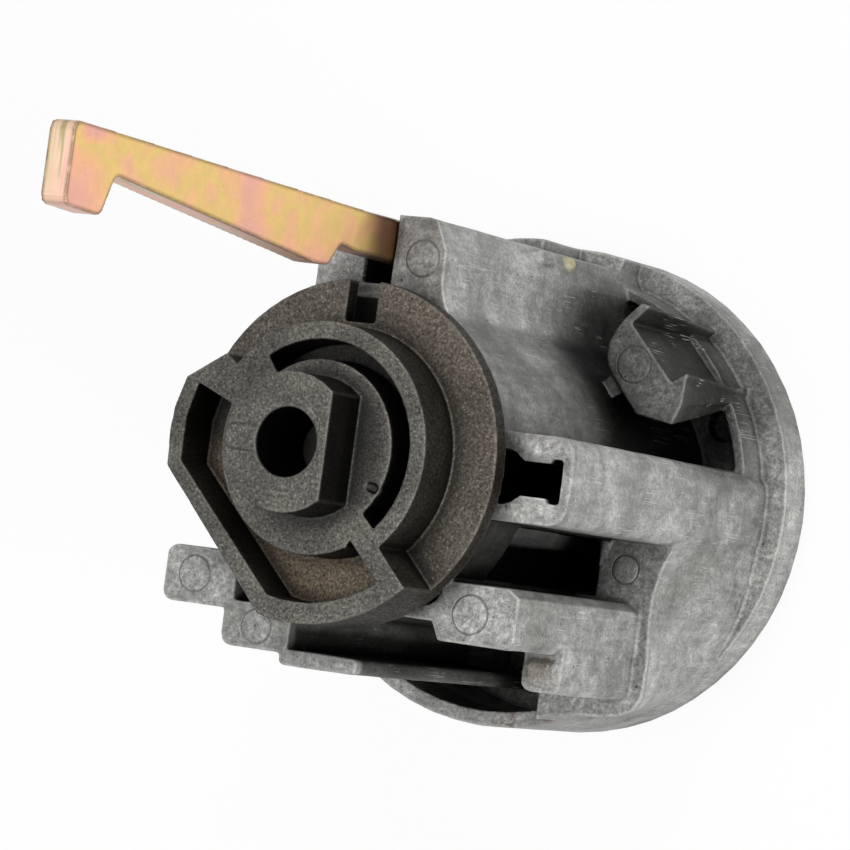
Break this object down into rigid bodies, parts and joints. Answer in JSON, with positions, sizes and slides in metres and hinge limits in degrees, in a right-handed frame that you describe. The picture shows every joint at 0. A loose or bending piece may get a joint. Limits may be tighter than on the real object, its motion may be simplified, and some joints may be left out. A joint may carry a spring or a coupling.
{
  "type": "ignition lock cylinder",
  "caption": "Die-cast lock housing with a turning key plug, sprung wafers and shutter, a stepped drive rotor and a long hooked lever.",
  "frame": {"origin": "on the lock's axis, in the plane of the head's front rim", "axes": "+Z along the lock's axis towards the drive end, +X towards the slotted rail, +Y towards the lever"},
  "size_m": [0.0452, 0.0452, 0.095],
  "materials": {
    "die_cast_zinc": "as cast, dull grey",
    "plated_zinc": "plated, satin",
    "pressed_steel": "bright",
    "spring_wire": "oiled",
    "stamped_brass": "satin",
    "sintered_steel": "matt, fine grain",
    "chromated_steel": "yellow chromate, iridescent"
  },
  "bodies": {
    "housing": {"housing": "die_cast_zinc", "return_spring": "spring_wire", "lever_pin": "pressed_steel", "lever_spring": "spring_wire"},
    "plug": {"key_plug": "plated_zinc", "plug_cap": "pressed_steel", "shutter_pin": "pressed_steel", "shutter_spring": "spring_wire", "retaining_clip": "spring_wire", "drive_rotor": "sintered_steel", "tail_pin": "pressed_steel", "wafer_spring_1": "spring_wire", "wafer_spring_2": "spring_wire", "wafer_spring_3": "spring_wire", "wafer_spring_4": "spring_wire", "wafer_spring_5": "spring_wire", "wafer_spring_6": "spring_wire", "side_bar_spring_1": "spring_wire", "side_bar_spring_2": "spring_wire"},
    "shutter": {"shutter": "pressed_steel"},
    "side_bar": {"side_bar": "stamped_brass"},
    "lever": {"lever": "chromated_steel"},
    "wafer_1": {"wafer_1": "stamped_brass"},
    "wafer_2": {"wafer_2": "stamped_brass"},
    "wafer_3": {"wafer_3": "stamped_brass"},
    "wafer_4": {"wafer_4": "stamped_brass"},
    "wafer_5": {"wafer_5": "stamped_brass"},
    "wafer_6": {"wafer_6": "stamped_brass"}
  },
  "joints": [
    {"name": "plug_turn", "type": "hinge", "parent": "housing", "child": "plug", "pos_m": [0, 0, 0.02], "axis": [0, 0, 1], "range_deg": [0, 110]},
    {"name": "shutter_swing", "type": "hinge", "parent": "plug", "child": "shutter", "pos_m": [-0.0024, 0, 0.003], "axis": [0, -1, 0], "range_deg": [0, 80], "stiffness_Nm_per_rad": 0.0006, "springref_deg": -28.65},
    {"name": "side_bar_slide", "type": "slide", "parent": "plug", "child": "side_bar", "axis": [1, 0, 0], "range_m": [0, 0.0009], "stiffness_N_per_m": 150},
    {"name": "lever_swing", "type": "hinge", "parent": "housing", "child": "lever", "pos_m": [-0.00085, 0.0188, 0.0256], "axis": [1, 0, 0], "range_deg": [0, 4], "stiffness_Nm_per_rad": 0.08, "springref_deg": -11.46},
    {"name": "wafer_1_slide", "type": "slide", "parent": "plug", "child": "wafer_1", "axis": [0, 1, 0], "range_m": [-0.0012, 0], "stiffness_N_per_m": 150, "springref_m": 0.002, "deforming": ["wafer_spring_1"]},
    {"name": "wafer_2_slide", "type": "slide", "parent": "plug", "child": "wafer_2", "axis": [0, 1, 0], "range_m": [-0.0012, 0], "stiffness_N_per_m": 150, "springref_m": 0.002, "deforming": ["wafer_spring_2"]},
    {"name": "wafer_3_slide", "type": "slide", "parent": "plug", "child": "wafer_3", "axis": [0, 1, 0], "range_m": [-0.0012, 0], "stiffness_N_per_m": 150, "springref_m": 0.002, "deforming": ["wafer_spring_3"]},
    {"name": "wafer_4_slide", "type": "slide", "parent": "plug", "child": "wafer_4", "axis": [0, 1, 0], "range_m": [-0.0012, 0], "stiffness_N_per_m": 150, "springref_m": 0.002, "deforming": ["wafer_spring_4"]},
    {"name": "wafer_5_slide", "type": "slide", "parent": "plug", "child": "wafer_5", "axis": [0, 1, 0], "range_m": [-0.0012, 0], "stiffness_N_per_m": 150, "springref_m": 0.002, "deforming": ["wafer_spring_5"]},
    {"name": "wafer_6_slide", "type": "slide", "parent": "plug", "child": "wafer_6", "axis": [0, 1, 0], "range_m": [-0.0012, 0], "stiffness_N_per_m": 150, "springref_m": 0.002, "deforming": ["wafer_spring_6"]}
  ]
}
